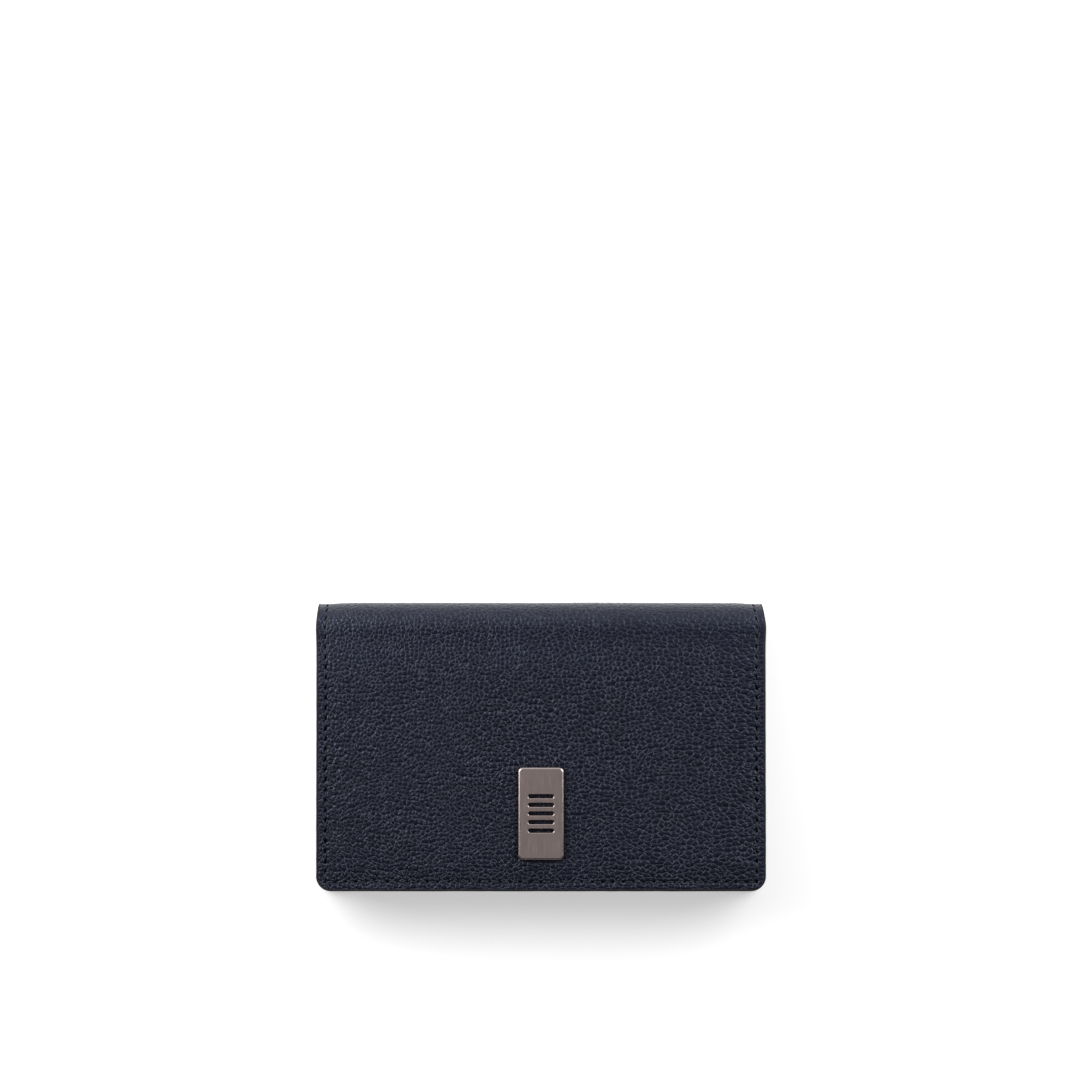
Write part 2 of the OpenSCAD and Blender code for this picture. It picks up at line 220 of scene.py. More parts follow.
def pebble_height(u, v):
    """The pebbles' height in millimetres at many places on the hide, worked out by their nodes."""
    mesh = bpy.data.meshes.new("pebble_places")
    mesh.from_pydata(np.stack([u.ravel(), v.ravel(), 0 * u.ravel()], axis=1).tolist(), [], [])
    piece = add_object("pebble_places", mesh)
    tree = bpy.data.node_groups.new("pebble_places", "GeometryNodeTree")
    for way in ("INPUT", "OUTPUT"):
        tree.interface.new_socket("Geometry", in_out=way, socket_type="NodeSocketGeometry")
    height = pebble_nodes(tree, node(tree, "GeometryNodeInputPosition"))[0]
    stored = node(tree, "GeometryNodeStoreNamedAttribute", data_type="FLOAT", domain="POINT",
                  Geometry=node(tree, "NodeGroupInput"), Name="height", Value=height)
    node(tree, "NodeGroupOutput", stored)
    piece.modifiers.new("pebbles", "NODES").node_group = tree
    made = piece.evaluated_get(bpy.context.evaluated_depsgraph_get()).data
    values = np.zeros(len(made.vertices), np.float32)
    made.attributes["height"].data.foreach_get("value", values)
    bpy.data.objects.remove(piece)
    bpy.data.node_groups.remove(tree)
    return values.astype(float).reshape(u.shape)


# ---- meshes ----

def add_object(name, data):
    """A new object in the scene."""
    made = bpy.data.objects.new(name, data)
    bpy.context.collection.objects.link(made)
    return made


def mesh_piece(name, points, faces, sharp=65):
    """A new object from points in millimetres, smooth but for edges sharper than `sharp` degrees.

    Cut ends stay sharp, so that a surface runs on evenly from one stretch to the next."""
    mesh = bpy.data.meshes.new(name)
    mesh.from_pydata((np.asarray(points, float) * MM).tolist(), [], faces)
    mesh.validate()
    mesh.update()
    mesh.shade_smooth()
    mesh.set_sharp_from_angle(angle=math.radians(sharp))
    return add_object(name, mesh)


def grid_faces(rows, cols, flip):
    """Quads of a grid of points, row by row."""
    i = (np.arange(rows - 1)[:, None] * cols + np.arange(cols - 1)[None, :]).ravel()
    quads = np.stack([i, i + 1, i + cols + 1, i + cols], axis=1)
    return (quads[:, ::-1] if flip else quads).tolist()


def border(rows, cols):
    """Row and column of each point round the border of a grid, in order."""
    return ([(0, j) for j in range(cols)] + [(i, cols - 1) for i in range(1, rows)]
            + [(rows - 1, j) for j in range(cols - 2, -1, -1)] + [(i, 0) for i in range(rows - 2, 0, -1)])


def closed_sheet(name, top, under, flip, notched=False):
    """A closed sheet from a fine grid `top` (rows x cols x 3) and the place of its underside.

    The underside is one long strip per row, and only its border is fine. A notched sheet has
    every point there too, so that no strip spans the notch."""
    rows, cols = top.shape[:2]
    points = [top.reshape(-1, 3)]
    faces = grid_faces(rows, cols, flip)
    base = rows * cols
    ring = border(rows, cols)
    if notched:
        number = {spot: base + spot[0] * cols + spot[1] for spot in ring}
        points.append(under.reshape(-1, 3))
        faces += [[base + k for k in face] for face in grid_faces(rows, cols, not flip)]
    else:
        number = {spot: base + k for k, spot in enumerate(ring)}
        points.append(np.array([under[spot] for spot in ring]))

    def add(face):
        faces.append(face[::-1] if flip else face)

    for spot, after in zip(ring, ring[1:] + ring[:1]):
        a, b = spot[0] * cols + spot[1], after[0] * cols + after[1]
        add([b, a, number[spot], number[after]])
    if not notched:
        last = cols - 1
        for i in range(1, rows - 2):
            add([number[i + 1, 0], number[i + 1, last], number[i, last], number[i, 0]])
        add([number[1, 0], number[1, last]] + [number[0, j] for j in range(last, -1, -1)])
        add([number[rows - 2, last], number[rows - 2, 0]] + [number[rows - 1, j] for j in range(cols)])
    return mesh_piece(name, np.vstack(points), faces)


def tubes(paths, caps=(True, True)):
    """Points and faces of tubes through their rings, with the ends closed that `caps` says."""
    points, faces = [], []
    for rings in paths:
        start, sides = len(points), len(rings[0])
        last = start + (len(rings) - 1) * sides
        for low in range(start, last, sides):
            for j in range(sides):
                a, b = low + j, low + (j + 1) % sides
                faces.append([a, b, b + sides, a + sides])
        if caps[0]:
            faces.append([start + j for j in range(sides)][::-1])
        if caps[1]:
            faces.append([last + j for j in range(sides)])
        points += [p for ring in rings for p in ring]
    return points, faces


def add_values(piece, values):
    """Stores one number for each point of a closed sheet under each name, for the materials to read.

    A point of the underside has the number of the point above it."""
    for name, above in values.items():
        whole = len(piece.data.vertices) == 2 * above.size
        below = above.ravel() if whole else [above[spot] for spot in border(*above.shape)]
        filled = np.concatenate([above.ravel(), below]).astype(np.float32)
        piece.data.attributes.new(name, "FLOAT", "POINT").data.foreach_set("value", filled)


# ---- the case: a path from the back's open edge, round the spine, to the flap's ----

def round_part(s):
    """How far round the spine a place is: 0 on the flat walls, 1 at the spine's outermost line."""
    return np.sin(np.clip((s - BACK_LENGTH) / RADIUS, 0, math.pi)) ** 2


def case_point(x, s, depth):
    """Where the case is, `s` along it, `x` across and `depth` under its outer face."""
    x, s, depth = np.broadcast_arrays(np.asarray(x, float), s, depth)
    # the flap goes over into the spine softly: the outer skin is pared thinner there
    pared = 0.5 * bell(s - FLAP_START, 7.0) * (1 - round_part(s))
    depth = depth + pared * np.clip(1 - depth / SKIN, 0, 1)
    turn = np.clip((s - BACK_LENGTH) / RADIUS, 0, math.pi)
    arm = RADIUS - depth
    past = np.maximum(s - FLAP_START, 0) + np.minimum(s - BACK_LENGTH, 0)
    y = FOLD + arm * np.sin(turn) - np.where(s > FLAP_START, past, -past)
    z = RADIUS - arm * np.cos(turn)
    # the round of the spine draws its ends in, one more than the other, and they bulge below it
    drawn_in = np.where(x > 0, 0.011, 0.005) * round_part(s)
    bulge = bell(s - FLAP_START + 1.5, 3.5) + bell(s - BACK_LENGTH - 1.5, 3.5)
    x = x * (1 - drawn_in + 0.003 * bulge)
    return np.stack([x, y, z], axis=-1)


def from_open_edge(s):
    """How far a place is from the nearer open edge."""
    return np.minimum(s, CASE_LENGTH - s)


def case_half_width(s):
    """Half the case's width, which rounds off at both open edges."""
    inside = np.clip(CORNER - from_open_edge(s), 0, CORNER)
    return HALF_W - CORNER + np.sqrt(np.maximum(CORNER**2 - inside**2, 0))


def stops(start, end, step, corner_rows):
    """Row places from start to end, with rows that follow the round corner at an open edge."""
    turn = np.linspace(0, math.pi / 2, corner_rows)
    if start == 0:
        rounded = CORNER * (1 - np.sin(turn[::-1]))
        return np.concatenate([rounded, stops(CORNER, end, step, 0)[1:]])
    if end == CASE_LENGTH:
        rounded = end - CORNER * (1 - np.sin(turn))
        return np.concatenate([stops(start, end - CORNER, step, 0)[:-1], rounded])
    return np.linspace(start, end, max(2, int(round((end - start) / step)) + 1))


def columns(step, fine_step):
    """Column places across the case, closer in a band along each stitch line."""
    half_band = 0.75
    inner, outer = LINE_X - half_band, LINE_X + half_band
    half = np.concatenate([
        np.linspace(0, inner, int(inner / step) + 1)[:-1],
        np.linspace(inner, outer, int(round((outer - inner) / fine_step)) + 1)[:-1],
        np.linspace(outer, HALF_W, int(math.ceil((HALF_W - outer) / step)) + 1)])
    return np.concatenate([-half[:0:-1], half])


def stitch_marks(x, s):
    """The groove that the stitches pull into the leather, and the needle holes, each 0..1."""
    groove_w, past_corner = 0.5, 0.4
    side, end = np.abs(np.abs(x) - LINE_X), np.abs(from_open_edge(s) - LINE_INSET)
    inside = from_open_edge(s) > LINE_INSET - past_corner
    within = np.abs(x) < LINE_X + past_corner
    groove = np.maximum(bell(side, groove_w) * inside, bell(end, groove_w) * within)
    # down the sides the holes are slanted ovals, and along an open edge they are nearly round
    step = SEAM / SIDE_STITCHES
    along = (s - LINE_INSET + step / 2) % step - step / 2
    off = np.abs(x) - LINE_X - 0.3 * along
    side_hole = smooth(2.0 - np.hypot(off / HOLE_R, np.abs(along) / 0.45)) * inside
    step = 2 * LINE_X / END_STITCHES
    across = np.abs((x + LINE_X + step / 2) % step - step / 2)
    end_hole = smooth(2.0 - np.hypot(end / HOLE_R, across / 0.2)) * within
    return groove, np.maximum(side_hole, end_hole)


def leather_relief(x, s):
    """How far the outer leather stands out of the plain case, with its values for the finish."""
    u, v = hide_places(x, s)
    groove, hole = stitch_marks(x, s)
    rim = np.minimum(case_half_width(s) - np.abs(x), from_open_edge(s))
    # pebbles are pressed lower along the edges, drawn flat where the leather goes round the spine,
    # and a little flatter where they are wide
    from_spine = np.maximum(s - FLAP_START, BACK_LENGTH - s)
    flat = (1 - 0.55 * bell(rim, 1.5)) * (1 - 0.42 * smooth(1 - from_spine / 15.0))
    flat = flat * (1 - 0.13 * smooth((x + 5) / 45.0))
    # the leather is puffed up a little inside the stitch lines, and its cut edges are pressed down
    puff = 0.24 * smooth((rim - LINE_INSET + 0.5) / 6.0) * (s > BACK_LENGTH) + 0.05 * waves(x, s, 17.0, 4)
    pressed = -0.10 * bell(rim, 0.4) * (1 - round_part(s))
    relief = PEBBLE_SHARE * pebble_height(u, v) * flat + puff + pressed - 0.10 * groove - 0.30 * hole
    # the badge presses the leather flat, to 0.9 mm past its edges
    y = FLAP_EDGE + CASE_LENGTH - s
    beyond = np.maximum(np.abs(x) - BADGE_HALF_W, np.abs(y - BADGE_Y) - BADGE_HALF_H)
    under = smooth(0.9 - beyond)
    relief = relief * (1 - under) - 0.10 * under
    # the holes' mask also carries their painted shadow to the finish
    return relief, {"hide_u": u, "hide_v": v, "flatness": 1 - flat, "hole": hole}


def lining_relief(x, s):
    """The lining is smooth, and only its stitches pull it in."""
    groove, hole = stitch_marks(x, s)
    return 0.03 * waves(x, s, 12.0, 4) - 0.13 * groove, {"hole": hole}


def fold_lines(piece):
    """Bakes a stretch's placement into its points."""
    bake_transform(piece)


def case_sheet(name, stretch, shown, behind, step, fine_step, corner_rows, relief):
    """One layer of the case along one stretch, between two depths, fine on the face that shows."""
    s = stops(*SPANS[stretch], step, corner_rows)[:, None]
    x = columns(step, fine_step)[None, :] * case_half_width(s) / HALF_W
    s = s + 0 * x
    out, values = relief(x, s)
    way = 1 if shown > behind else -1
    top, under = case_point(x, s, shown + way * out), case_point(x, s, behind)
    piece = closed_sheet(name, top, under, flip=shown < behind)
    add_values(piece, values)
    return piece


def interlining(stretch):
    """The soft layer inside the spine."""
    turns = np.linspace(*sorted(BENDS[stretch][1]), 11)
    s = BACK_LENGTH + RADIUS * np.radians(turns)[:, None]
    x = np.linspace(-HALF_W, HALF_W, 41)[None, :] + 0 * s
    return closed_sheet(f"interlining_{stretch}", case_point(x, s, SKIN), case_point(x, s, CORE), flip=True)


def case_rim(stretch):
    """Runs of points along the cut edge of a stretch: (x, s, outward x, outward s).

    The middle stretch has one run at each side. The others have a single run, down one side,
    round the open edge's corners and up the other side."""
    side = stops(*SPANS[stretch], 0.7, 14)
    if stretch == "middle":
        return [[(sign * HALF_W, s, sign, 0.0) for s in side] for sign in (1, -1)]
    edge, way = (0.0, -1.0) if stretch == "back" else (CASE_LENGTH, 1.0)
    straight = sorted((s for s in side if abs(s - edge) >= CORNER), key=lambda s: -abs(s - edge))
    rim = [(HALF_W, s, 1.0, 0.0) for s in straight]
    for turn in np.linspace(0, math.pi / 2, 13)[1:]:
        out_x, out_s = math.cos(turn), math.sin(turn)
        rim.append((HALF_W - CORNER * (1 - out_x), edge - way * CORNER * (1 - out_s), out_x, way * out_s))
    rim += [(x, edge, 0.0, way) for x in np.linspace(HALF_W - CORNER, 0, 60)[1:]]
    return [rim + [(-x, s, -out_x, out_s) for x, s, out_x, out_s in rim[-2::-1]]]


def edge_paint(stretch):
    """The painted cut edge: a low, slightly lumpy bead over the ends of all layers."""
    profile = [(-0.45, 0.3), (-0.34, 0.02), (-0.15, -0.03), (0.05, 0.05), (0.16, 0.35), (0.2, COVER / 2),
               (0.17, COVER - 0.35), (0.06, COVER - 0.02), (-0.12, COVER + 0.05), (-0.32, COVER - 0.1)]
    paths = []
    for rim in case_rim(stretch):
        rings = []
        for x, s, out_x, out_s in rim:
            lump = 1 + 0.12 * waves(x + s, s, 2.5, 5)
            lumpy = [(out * lump if out > 0 else out, depth) for out, depth in profile]
            rings.append([case_point(x + out_x * out, s + out_s * out, depth) for out, depth in lumpy])
        paths.append(rings)
    return mesh_piece(f"edge_paint_{stretch}", *tubes(paths))


def stitch(place, along_x, centre, line, depth, length, sign, slant=0.0):
    """Rings of one stitch: a short arched length of thread whose ends dive into the needle holes."""
    arch, dive = 0.06, 0.42
    rings = []
    for t in np.linspace(-1, 1, 9):
        rise = arch * (1 - t * t) - dive * max(0.0, abs(t) - 0.72) / 0.28
        a = centre + t * length / 2
        b = line + slant * t
        ring = []
        for k in range(8):
            turn = k * math.pi / 4
            side, up = THREAD_R * math.cos(turn), THREAD_R * math.sin(turn)
            d = depth - sign * (rise + up)
            ring.append(place(a, b + side, d) if along_x else place(b + side, a, d))
        rings.append(ring)
    return rings


def seam_places(stretch, down_sides, along_edge):
    """Places (x, s) so many stitches down both sides of a stretch, and along its open edge."""
    start, end = SPANS[stretch]
    sides = [(sign * LINE_X, s) for s in LINE_INSET + down_sides * SEAM / SIDE_STITCHES
             if start <= s < end for sign in (-1, 1)]
    if stretch == "middle":
        return sides, []
    line = LINE_INSET if stretch == "back" else CASE_LENGTH - LINE_INSET
    return sides, [(-LINE_X + k * 2 * LINE_X / END_STITCHES, line) for k in along_edge]


def case_thread(stretch):
    """The stitches of a stretch, on its outer face and on its lining."""
    sides, ends = seam_places(stretch, np.arange(SIDE_STITCHES) + 0.5, np.arange(END_STITCHES) + 0.5)
    rows = [(False, s, x, math.copysign(0.10, x)) for x, s in sides] + [(True, x, s, 0.03) for x, s in ends]
    return mesh_piece(f"thread_{stretch}", *tubes(
        stitch(case_point, along_x, centre, line, depth, PITCH * 0.7, sign, slant)
        for along_x, centre, line, slant in rows for depth, sign in ((0.26, 1), (COVER - 0.06, -1))))


def needle_hole_shadows(stretch):
    """Cups in the needle holes, dressed near black as painted shadow: slanted ovals down the sides, dots
    along an open edge.
    """
    sides, ends = seam_places(stretch, np.arange(1, SIDE_STITCHES), range(END_STITCHES + 1))
    spots = [(x, s, 0.14, 0.42, math.copysign(0.35, x)) for x, s in sides]
    spots += [(x, s, HOLE_R, HOLE_R, 0.0) for x, s in ends]
    turns = np.linspace(0, 2 * math.pi, 12, endpoint=False)
    # a hole narrows as it goes down
    narrowing = ((1.0, 0.12), (0.8, 0.2), (0.4, 0.34))
    paths = []
    for x, s, half_x, half_s, slant in spots:
        rim = [(half_s * math.sin(a), half_x * math.cos(a)) for a in turns]
        paths.append([[case_point(x + scale * (across + slant * along), s + scale * along, depth)
                       for along, across in rim] for scale, depth in narrowing])
    return mesh_piece(f"needle_hole_shadows_{stretch}", *tubes(paths, caps=(False, True)))


# ---- the pocket: a front wall with two card slots, on a folded gusset ----

def panel_columns(step):
    """Column places across a panel, closer where its corners round off."""
    turn = np.linspace(0, math.pi / 2, 12)
    straight = WALL_HALF_W - CORNER
    flat = np.linspace(0, straight, int(straight / step) + 1)
    side = np.concatenate([flat[:-1], WALL_HALF_W - CORNER * (1 - np.sin(turn))])
    return np.concatenate([-side[:0:-1], side])


def panel_low(x):
    """Where the pocket's bottom edge is, round corners included."""
    inside = np.clip(np.abs(x) - (WALL_HALF_W - CORNER), 0, CORNER)
    return WALL_EDGE + CORNER - np.sqrt(np.maximum(CORNER**2 - inside**2, 0))


def notch_top(x):
    """The front wall's top edge, with the round thumb notch eased into it."""
    radius, deep, ease = 14.0, 5, 0.9
    notch = MOUTH + radius - deep - np.sqrt(np.maximum(radius**2 - x**2, 0))
    notch = np.where(np.abs(x) > radius - 1, MOUTH + radius - deep, notch)
    gap = np.abs(notch - MOUTH)
    return np.minimum(notch, MOUTH) - np.maximum(ease - gap, 0) ** 2 / (4 * ease)


def panel_relief(x, y, low, high, face):
    """How far a leather panel stands out of its plain face, with its values for the finish."""
    # each panel is cut from another part of the hide
    u, v = hide_places(x, y + 90 * face)
    side = np.abs(np.abs(x) - (WALL_HALF_W - LINE_INSET))
    rim = np.minimum(np.minimum(WALL_HALF_W - np.abs(x), y - low), high - y)
    # the stitches pull the sides in, and a creased line runs along the mouth between them
    crease_inset = 1.7
    crease = bell(high - y - crease_inset, 0.22) * (side > 1.0)
    groove = np.maximum(bell(side, 0.42), crease)
    turned_in = 0.3 * np.maximum(1 - rim / 0.45, 0) ** 2
    out = PEBBLE_SHARE * pebble_height(u, v) - 0.15 * groove - turned_in
    # the grooves and the mouth's crease carry a light painted shade to the finish
    return out, {"hide_u": u, "hide_v": v, "hole": 0.35 * groove}


def pocket_panel(name, top_of, shown, behind, step, covered=WALL_EDGE):
    """A panel of the pocket between two heights: pebbled leather if it faces up, lining if down.

    The next panel lies over it as far up as `covered`, and its rows are coarse there."""
    x = panel_columns(step)[None, :]
    low, high = panel_low(x), top_of(x)
    notched = np.ptp(high) > 0
    length = np.max(high) - WALL_EDGE
    hidden = (covered - WALL_EDGE) / length
    t = np.concatenate([np.linspace(0, hidden, int(hidden * length / COARSE) + 1)[:-1],
                        np.linspace(hidden, 1, int((1 - hidden) * length / step))])[:, None]
    edge_rows = np.array([0.6, 0.3, 0.12, 0.0])[:, None]
    y = low + t * (high - low)
    y = np.vstack([y[:-len(edge_rows)], high - edge_rows + 0 * x])
    x = x + 0 * y
    if shown > behind:
        out, values = panel_relief(x, y, low, high, shown)
        z = shown + out
    else:
        z, values = shown + 0.2 * np.maximum(1 - (high - y) / 0.4, 0) ** 2, {}
    top, under = np.stack([x, y, z], axis=-1), np.stack([x, y, behind + 0 * x], axis=-1)
    piece = closed_sheet(name, top, under, flip=shown < behind, notched=notched)
    add_values(piece, values)
    return piece


def pocket_top(y):
    """How high the front wall's stack of leather is at a place down its side."""
    slope = 0.8
    lower = WALL_FACE + (UPPER_FACE - WALL_FACE) * smooth((UPPER_TOP - y) / slope)
    return lower + (LOWER_FACE - UPPER_FACE) * smooth((LOWER_TOP - y) / slope)


def u_path(inset, top, step):
    """Places down one side of the pocket, round its bottom and up the other, with outward ways."""
    radius = max(CORNER - inset, 0.4)
    x0, y0 = WALL_HALF_W - inset - radius, WALL_EDGE + inset + radius
    side = [(x0 + radius, y, 1.0, 0.0) for y in np.linspace(top, y0, int((MOUTH - WALL_EDGE) / step))[:-1]]
    bend = [(x0 + radius * math.cos(a), y0 - radius * math.sin(a), math.cos(a), -math.sin(a))
            for a in np.linspace(0, math.pi / 2, 9)]
    bottom = [(x, y0 - radius, 0.0, -1.0) for x in np.linspace(x0, 0, int(WALL_HALF_W / step))[1:]]
    half = side + bend + bottom
    return half + [(-x, y, -out_x, out_y) for x, y, out_x, out_y in half[-2::-1]]


def pocket_paint():
    """The painted bead round the pocket's three closed edges, stepping down with the slots."""
    profile = ((-0.3, 0.02), (0.06, 0.0), (0.16, 0.15), (0.2, 0.5), (0.16, 0.85), (0.06, 1.0), (-0.3, 0.99))
    rings = []
    for x, y, out_x, out_y in u_path(0, MOUTH - 0.05, 0.5):
        low, high = WALL_UNDER, pocket_top(y)
        lump = 1 + 0.15 * waves(x - y, y, 2.2, 5)
        lumpy = [(out * lump if out > 0 else out, rise) for out, rise in profile]
        rings.append([(x + out_x * out, y + out_y * out, low + rise * (high - low)) for out, rise in lumpy])
    return mesh_piece("pocket_edge_paint", *tubes([rings]))


def gusset():
    """A strip of thin leather folded inwards in a V, joining the front wall to the back."""
    seam, tip, half_t = 3.65, 8.3, 0.24
    half = (WALL_UNDER - POCKET_FLOOR) / 2
    middle, low = POCKET_FLOOR + half, -half + 0.25
    # half of the V, from the back's seam in to its tip: how far in, and how high
    line = [(u, low) for u in (0.1, 1.3, 2.5)]
    for t in np.linspace(0, 1, 9)[:-1]:
        bow = 0.35 * math.sin(math.pi * t)
        line.append((seam + (tip - seam) * t - bow, low * (1 - t)))
    line += [(tip + 0.12, -0.22), (tip + 0.2, 0.0)]
    line = np.array(line + [(u, -z) for u, z in line[-2::-1]])
    way = np.gradient(line, axis=0)
    way /= np.linalg.norm(way, axis=1)[:, None]
    normal = np.stack([-way[:, 1], way[:, 0]], axis=1)
    ring = np.vstack([line + half_t * normal, (line - half_t * normal)[::-1]])
    paths = [u_path(u, MOUTH - 0.15, COARSE) for u, z in ring]
    rings = [[(path[i][0], path[i][1], middle + z) for path, (u, z) in zip(paths, ring)]
             for i in range(len(paths[0]))]
    points, faces = tubes([rings], caps=(False, False))
    # each end is closed by a row of quads between the strip's two sides
    count, last = len(ring), (len(rings) - 1) * len(ring)
    for j in range(count // 2 - 1):
        k = count - 1 - j
        faces += [[j, j + 1, k - 1, k], [last + k, last + k - 1, last + j + 1, last + j]]
    return mesh_piece("gusset_fold", points, faces)


def pocket_thread():
    """Stitches that hold the slots and the gusset to the front wall."""
    line, low = WALL_HALF_W - LINE_INSET, WALL_EDGE + LINE_INSET
    spots = [(False, low + (i + 0.5) * PITCH, sign * line)
             for i in range(int((MOUTH - 0.6 - low) / PITCH)) for sign in (-1, 1)]
    half = line - PITCH / 2
    across = int(2 * half / PITCH)
    spots += [(True, -half + (i + 0.5) * 2 * half / across, low) for i in range(across)]

    def put(x, y, depth):
        top = WALL_FACE if y > UPPER_TOP else UPPER_FACE if y > LOWER_TOP else LOWER_FACE
        return x, y, top - depth

    return mesh_piece("thread_pocket", *tubes(
        stitch(put, along_x, centre, at, 0.12, PITCH * 0.84, 1) for along_x, centre, at in spots))


# ---- snap and badge ----

def turned(name, profile, steps=72, loop=False, y=BADGE_Y):
    """A turned piece from (radius, height) points, centred on x = 0 and in line with the badge."""
    points, rings = [], []
    for radius, z in profile:
        if radius == 0:
            rings.append([len(points)] * steps)
            points.append((0, y, z))
        else:
            rings.append([len(points) + k for k in range(steps)])
            points += [(radius * math.cos(a), y + radius * math.sin(a), z)
                       for a in np.linspace(0, 2 * math.pi, steps, endpoint=False)]
    faces = []
    for low, high in zip(rings, rings[1:] + rings[:1] if loop else rings[1:]):
        for k in range(steps):
            j = (k + 1) % steps
            face = [low[k], low[j], high[j], high[k]]
            faces.append([v for n, v in enumerate(face) if v not in face[:n]])
    return mesh_piece(name, points, faces, sharp=50)


def rounded_box(half_x, half_y, radius):
    """Points round a rectangle with round corners, anticlockwise."""
    points = []
    for k, (sx, sy) in enumerate(((1, 1), (-1, 1), (-1, -1), (1, -1))):
        for a in np.linspace(0, math.pi / 2, 9) + k * math.pi / 2:
            points.append((sx * (half_x - radius) + radius * math.cos(a),
                           sy * (half_y - radius) + radius * math.sin(a)))
    return points


def badge():
    """A plain metal plate with bevelled edges and five cross slots."""
    top, corner = BADGE_HIGH.z / MM, 1.2
    slot_half_l, slot_half_w, slot_pitch = 3.1, 0.45, 2.1
    mesh = bmesh.new()

    def ring(points, z, dy=0.0):
        return [mesh.verts.new((x * MM, (y + dy + BADGE_Y) * MM, z * MM)) for x, y in points]

    def wall(low, high, flip=False):
        for k in range(len(low)):
            j = (k + 1) % len(low)
            face = [low[k], low[j], high[j], high[k]]
            mesh.faces.new(face[::-1] if flip else face)

    # the plate's edge and its bevel: how far in, and how high
    edge = ((0.12, TOTAL - 0.02), (0.0, TOTAL + 0.1), (0.0, top - 0.40), (0.03, top - 0.30),
            (0.10, top - 0.18), (0.24, top - 0.08), (0.42, top))
    outer = [ring(rounded_box(BADGE_HALF_W - inset, BADGE_HALF_H - inset, corner - inset), z)
             for inset, z in edge]
    for low, high in zip(outer, outer[1:]):
        wall(low, high)
    tops, bottoms = [outer[-1]], [outer[0]]
    for k in range(-2, 3):
        # a slot's ends are all but fully round, and it opens out at the top
        rings = [ring(rounded_box(slot_half_l + grow, slot_half_w + grow, slot_half_w + grow - 0.001), z,
                      k * slot_pitch)
                 for grow, z in ((0.0, TOTAL - 0.02), (0.0, top - 0.16), (0.05, top - 0.05), (0.16, top))]
        for low, high in zip(rings, rings[1:]):
            wall(low, high, flip=True)
        tops.append(rings[-1])
        bottoms.append(rings[0])
    for loops, normal in ((tops, (0, 0, 1)), (bottoms, (0, 0, -1))):
        edges = [mesh.edges.get(pair) for loop in loops for pair in zip(loop, loop[1:] + loop[:1])]
        bmesh.ops.triangle_fill(mesh, edges=edges, use_beauty=True, use_dissolve=False, normal=normal)
    data = bpy.data.meshes.new("badge")
    mesh.to_mesh(data)
    mesh.free()
    data.shade_smooth()
    data.set_sharp_from_angle(angle=math.radians(28))
    return add_object("badge", data)


def badge_post(name, y):
    """A short post that holds the badge, passing through the leather."""
    foot, top, radius = BADGE_LOW.z / MM, TOTAL + 0.1, 0.6
    return turned(name, [(0, foot), (0.45, foot), (radius, foot + 0.1), (radius, top), (0, top)], 24, y=y)


# ---- finishes ----

def linear(hex_colour):
    """A colour written as sRGB hex, as the shader wants it."""
    values = [int(hex_colour[k:k + 2], 16) / 255 for k in (1, 3, 5)]
    return tuple(v / 12.92 if v <= 0.04045 else ((v + 0.055) / 1.055) ** 2.4 for v in values) + (1.0,)


def times(colour, amount):
    """A colour made darker or lighter."""
    return tuple(amount * c for c in colour[:3]) + (1.0,)


def new_material(name):
    """An empty material and its shader, joined to the output."""
    material = bpy.data.materials.new(name)
    material.use_nodes = True
    tree = material.node_tree
    tree.nodes.clear()
    shader = node(tree, "BsdfPrincipled")
    node(tree, "OutputMaterial", Surface=shader)
    return material, tree, shader


def shade_between(tree, value, low, high, colour_low, colour_high):
    """A colour that goes from one to another as a value rises."""
    mix = node(tree, "Mix", node(tree, "MapRange", value, low, high), data_type="RGBA")
    connect(tree, mix.inputs[6:8], colour_low, colour_high)
    return mix.outputs[2]


def places(tree, stretch=(1, 1, 1)):
    """Places on the object in millimetres, stretched along each axis."""
    spot = node(tree, "TexCoord").outputs["Object"]
    return node(tree, "VectorMath", spot, [1000 * s for s in stretch], operation="MULTIPLY")


def leather(tops, crease_shade, roughness, tint, grain_mm, grain_depth):
    """Pigmented pebbled calfskin, milled soft: satin tops over duller creases, which painted shade makes
    darker.
    """
    material, tree, shader = new_material("pebbled_calf")
    tops, crease_shade = linear(tops), linear(crease_shade)
    spot = places(tree)
    u, v, hole, flatness = [node(tree, "Attribute", attribute_name=value).outputs["Fac"]
                            for value in ("hide_u", "hide_v", "hole", "flatness")]
    height, crease, tone = pebble_nodes(tree, node(tree, "CombineXYZ", X=u, Y=v))
    relief = node(tree, "Math", 1.0, flatness, operation="SUBTRACT")
    crease = node(tree, "Math", crease, relief, operation="MULTIPLY")
    height = node(tree, "Math", height, relief, operation="MULTIPLY")
    pores = node(tree, "TexNoise", Vector=spot, Scale=1 / grain_mm, Detail=4.0)
    # the pigment is uneven from pebble to pebble and in wide clouds; painted shade darkens the creases, and
    # painted shadow makes the needle holes and stitch grooves darkest
    cloud_mm = 14
    cloud = node(tree, "TexNoise", Vector=spot, Scale=1 / cloud_mm, Detail=3.0)
    mottled = node(tree, "Math", tone, 0.35, cloud, operation="MULTIPLY_ADD")
    colour = shade_between(tree, mottled, 0.4, 0.95, times(tops, 0.82), times(tops, 1.18))
    # painted shade: the creases go towards the darker crease colour
    colour = shade_between(tree, crease, 0.0, 1.0, colour, crease_shade)
    # painted shadow: the needle holes, stitch grooves and mouth crease go near black
    colour = shade_between(tree, hole, 0.0, 1.0, colour, times(crease_shade, 0.15))
    # creases and holes are duller, and the pores break up the gloss
    dull = node(tree, "Math", crease, hole, operation="ADD")
    rough = node(tree, "MapRange", dull, 0.0, 1.0, roughness, roughness + 0.14)
    rough = node(tree, "Math", pores, 0.12, rough, operation="MULTIPLY_ADD")
    pebbled = node(tree, "Math", pores, grain_depth, height, operation="MULTIPLY_ADD")
    bump = node(tree, "Bump", Height=pebbled, Strength=1.0, Distance=MM)
    connect(tree, shader.inputs, Base_Color=colour, Roughness=rough, Specular_Tint=tint, Normal=bump)
    return material


